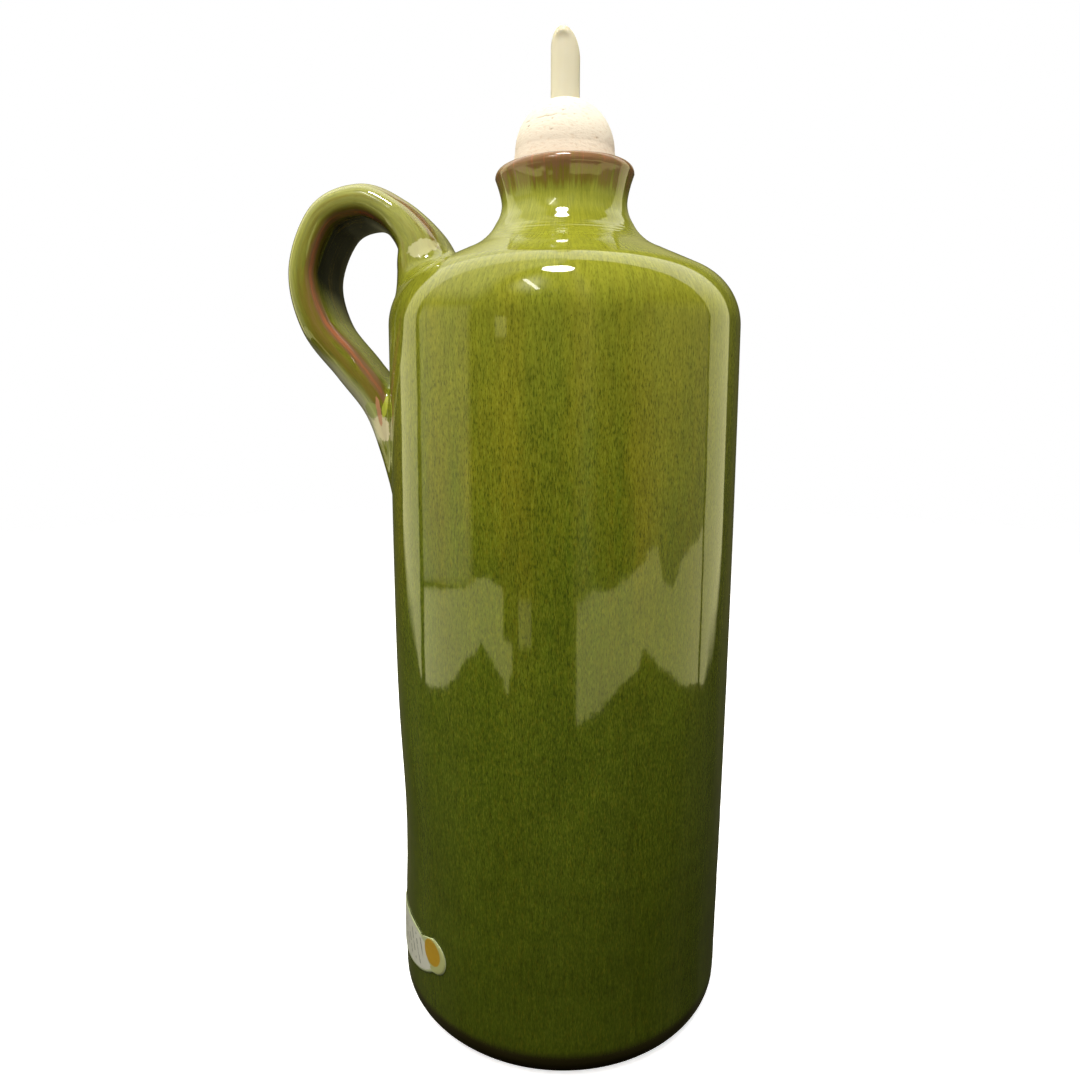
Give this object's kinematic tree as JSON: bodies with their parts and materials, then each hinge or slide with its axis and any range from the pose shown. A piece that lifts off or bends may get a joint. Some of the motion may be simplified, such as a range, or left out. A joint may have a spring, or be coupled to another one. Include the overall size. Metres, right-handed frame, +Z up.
{
  "type": "oil cruet",
  "caption": "Glazed ceramic oil cruet with a strap handle, a cork in its neck and a slanted pouring tube through the cork.",
  "frame": {"origin": "centre of the flat base, on the surface that the cruet stands on", "axes": "+Z up along the bottle's axis; the handle points along -X; +Y and -Y are the bottle's two plain sides"},
  "size_m": [0.1146, 0.0894, 0.251],
  "materials": {
    "green_glaze": "gloss",
    "natural_cork": "matte",
    "ivory_plastic": "satin",
    "label_paper": "satin"
  },
  "bodies": {
    "root": {"bottle": "green_glaze", "cork_stopper": "natural_cork", "pour_spout": "ivory_plastic", "label": "label_paper"}
  },
  "joints": []
}
